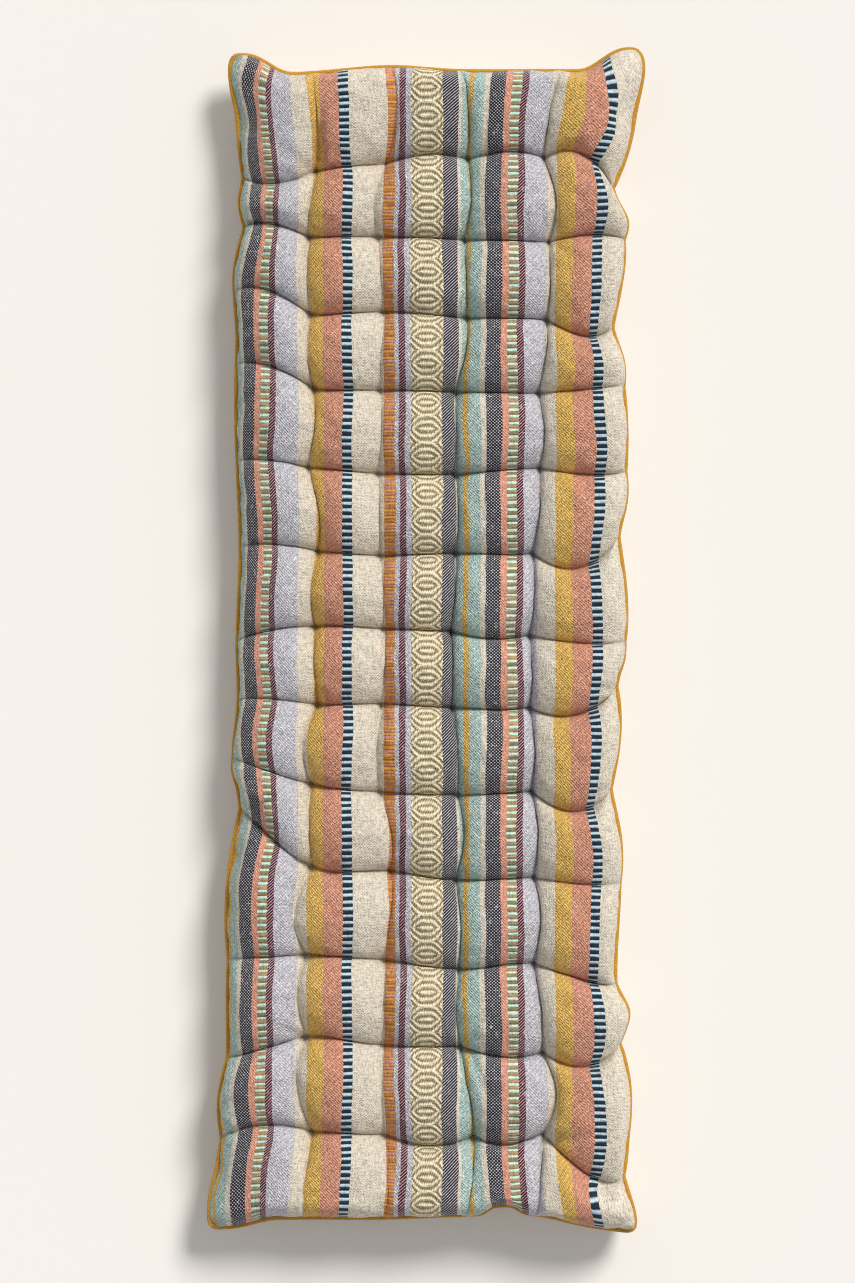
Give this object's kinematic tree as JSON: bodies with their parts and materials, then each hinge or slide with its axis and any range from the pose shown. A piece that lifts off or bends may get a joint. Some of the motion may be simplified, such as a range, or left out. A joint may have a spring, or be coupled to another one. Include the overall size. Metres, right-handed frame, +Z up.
{
  "type": "bench cushion",
  "caption": "Long tufted bench cushion in striped woven cloth, with a piped knife edge and corner ears; lies on its back on a bench or floor.",
  "frame": {"origin": "middle of the cushion, on the surface that it lies on", "axes": "+X across the width, +Y along the length towards the head end, +Z up"},
  "size_m": [0.4478, 1.2058, 0.0908],
  "materials": {
    "striped_cloth": "matt woven cotton in lengthwise stripes",
    "piping_cloth": "matt mustard bias-cut cotton over cord"
  },
  "bodies": {
    "root": {"cushion": "striped_cloth", "piping": "piping_cloth"}
  },
  "joints": []
}
